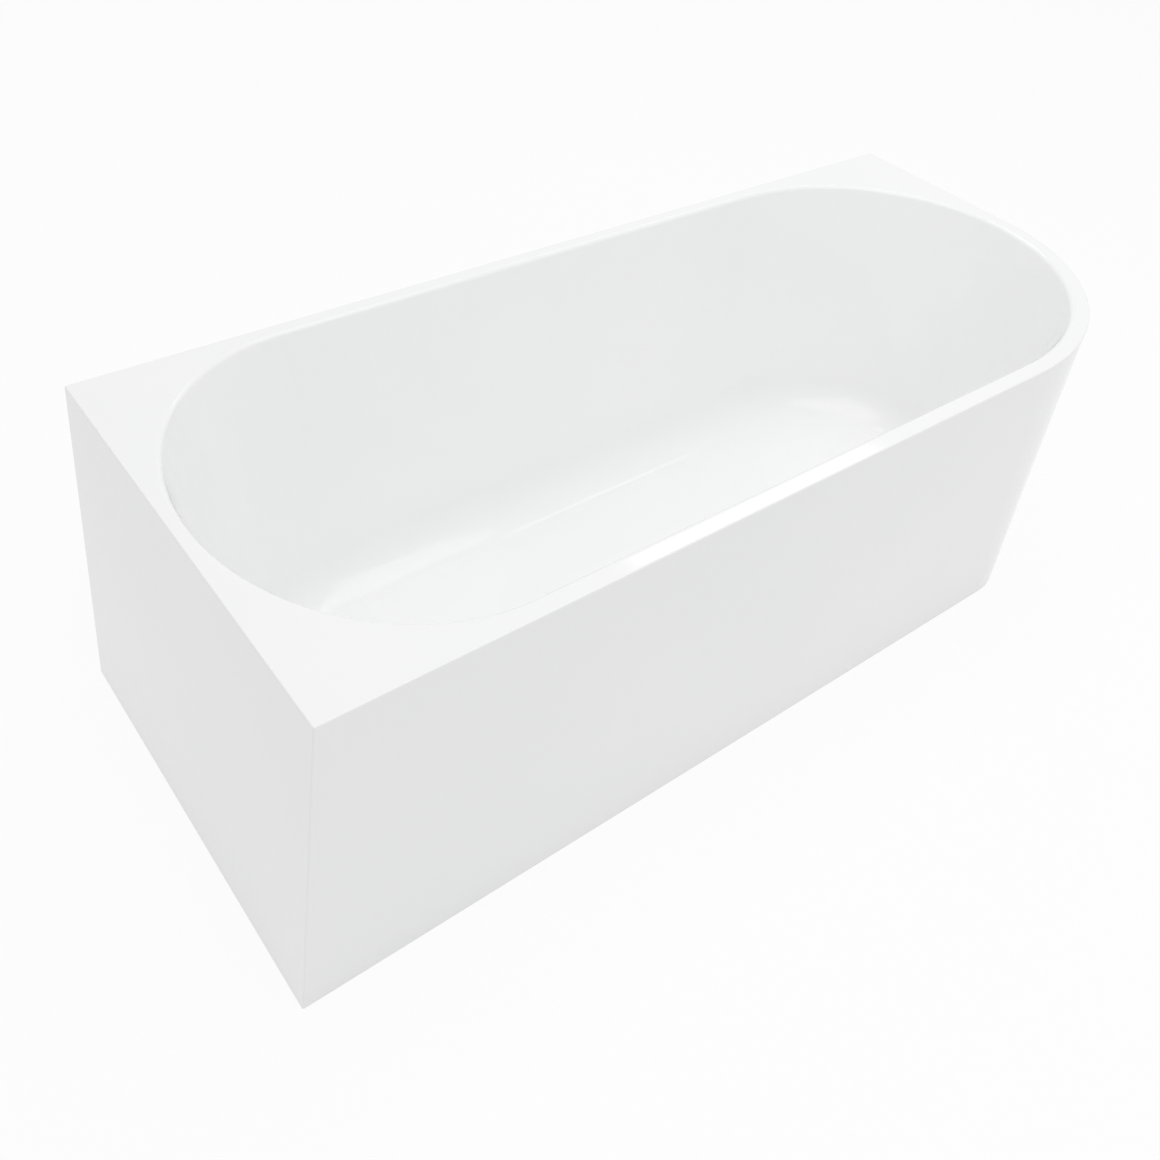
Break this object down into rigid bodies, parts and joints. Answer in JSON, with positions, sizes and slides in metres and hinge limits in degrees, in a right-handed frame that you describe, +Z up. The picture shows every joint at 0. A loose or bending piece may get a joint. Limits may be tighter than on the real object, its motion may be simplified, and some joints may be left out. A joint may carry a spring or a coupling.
{
  "type": "back-to-wall corner bathtub",
  "caption": "Acrylic corner bath for a wall: flat deck, long rounded basin, full-height skirt with one rounded end, steel frame with levelling feet and a pop-up waste.",
  "frame": {"origin": "on the floor under the middle of the bath", "axes": "+X along the back wall from the side-wall end to the rounded end, +Y towards the back wall, +Z up"},
  "size_m": [1.7, 0.7, 0.56],
  "materials": {
    "acrylic_white": "gloss",
    "adhesive": "satin",
    "particle_board": "matt",
    "plywood": "matt",
    "zinc_steel": "zinc plated",
    "foot_plastic": "satin",
    "nut_plastic": "satin",
    "chrome": "polished",
    "seal_rubber": "matt"
  },
  "bodies": {
    "bath": {"tub_shell": "acrylic_white", "skirt_shell": "acrylic_white", "rim_bond_bead": "adhesive", "deck_pad_front_left": "plywood", "deck_pad_back_left": "plywood", "deck_pad_back_right": "plywood", "back_batten": "plywood", "front_stiffener": "plywood", "base_board": "particle_board", "frame_rail_front": "zinc_steel", "frame_rail_back": "zinc_steel", "cross_rail_left": "zinc_steel", "cross_rail_middle": "zinc_steel", "cross_rail_right": "zinc_steel", "skirt_block_left": "plywood", "skirt_block_middle": "plywood", "skirt_block_right": "plywood", "rail_end_caps": "foot_plastic", "board_screws": "zinc_steel", "foot_weld_nuts": "zinc_steel", "foot_lock_nuts": "zinc_steel", "waste_flange": "chrome", "waste_upper_gasket": "seal_rubber", "waste_lower_gasket": "seal_rubber", "waste_slip_washer": "nut_plastic", "waste_back_nut": "nut_plastic", "waste_cartridge": "nut_plastic"},
    "plug": {"waste_plug": "chrome", "plug_seal": "seal_rubber"},
    "foot_1": {"foot_pad_1": "foot_plastic"},
    "stud_1": {"foot_stud_1": "zinc_steel"},
    "foot_2": {"foot_pad_2": "foot_plastic"},
    "stud_2": {"foot_stud_2": "zinc_steel"},
    "foot_3": {"foot_pad_3": "foot_plastic"},
    "stud_3": {"foot_stud_3": "zinc_steel"},
    "foot_4": {"foot_pad_4": "foot_plastic"},
    "stud_4": {"foot_stud_4": "zinc_steel"},
    "foot_5": {"foot_pad_5": "foot_plastic"},
    "stud_5": {"foot_stud_5": "zinc_steel"}
  },
  "joints": [
    {"name": "plug_lift", "type": "slide", "parent": "bath", "child": "plug", "axis": [0, 0, 1], "range_m": [0, 0.009]},
    {"name": "foot_1_lift", "type": "slide", "parent": "bath", "child": "foot_1", "axis": [0, 0, -1], "range_m": [0, 0.02]},
    {"name": "foot_1_turn", "type": "hinge", "parent": "foot_1", "child": "stud_1", "pos_m": [-0.485, -0.26, 0.014], "axis": [0, 0, -1], "range_deg": [0, 4114.3]},
    {"name": "foot_2_lift", "type": "slide", "parent": "bath", "child": "foot_2", "axis": [0, 0, -1], "range_m": [0, 0.02]},
    {"name": "foot_2_turn", "type": "hinge", "parent": "foot_2", "child": "stud_2", "pos_m": [-0.485, 0.26, 0.014], "axis": [0, 0, -1], "range_deg": [0, 4114.3]},
    {"name": "foot_3_lift", "type": "slide", "parent": "bath", "child": "foot_3", "axis": [0, 0, -1], "range_m": [0, 0.02]},
    {"name": "foot_3_turn", "type": "hinge", "parent": "foot_3", "child": "stud_3", "pos_m": [-0.0385, 0, 0.014], "axis": [0, 0, -1], "range_deg": [0, 4114.3]},
    {"name": "foot_4_lift", "type": "slide", "parent": "bath", "child": "foot_4", "axis": [0, 0, -1], "range_m": [0, 0.02]},
    {"name": "foot_4_turn", "type": "hinge", "parent": "foot_4", "child": "stud_4", "pos_m": [0.408, -0.26, 0.014], "axis": [0, 0, -1], "range_deg": [0, 4114.3]},
    {"name": "foot_5_lift", "type": "slide", "parent": "bath", "child": "foot_5", "axis": [0, 0, -1], "range_m": [0, 0.02]},
    {"name": "foot_5_turn", "type": "hinge", "parent": "foot_5", "child": "stud_5", "pos_m": [0.408, 0.26, 0.014], "axis": [0, 0, -1], "range_deg": [0, 4114.3]}
  ],
  "couplings": [
    {"joint": "foot_1_turn", "follows": "foot_1_lift", "rad_per_m": 3590.4},
    {"joint": "foot_2_turn", "follows": "foot_2_lift", "rad_per_m": 3590.4},
    {"joint": "foot_3_turn", "follows": "foot_3_lift", "rad_per_m": 3590.4},
    {"joint": "foot_4_turn", "follows": "foot_4_lift", "rad_per_m": 3590.4},
    {"joint": "foot_5_turn", "follows": "foot_5_lift", "rad_per_m": 3590.4}
  ]
}
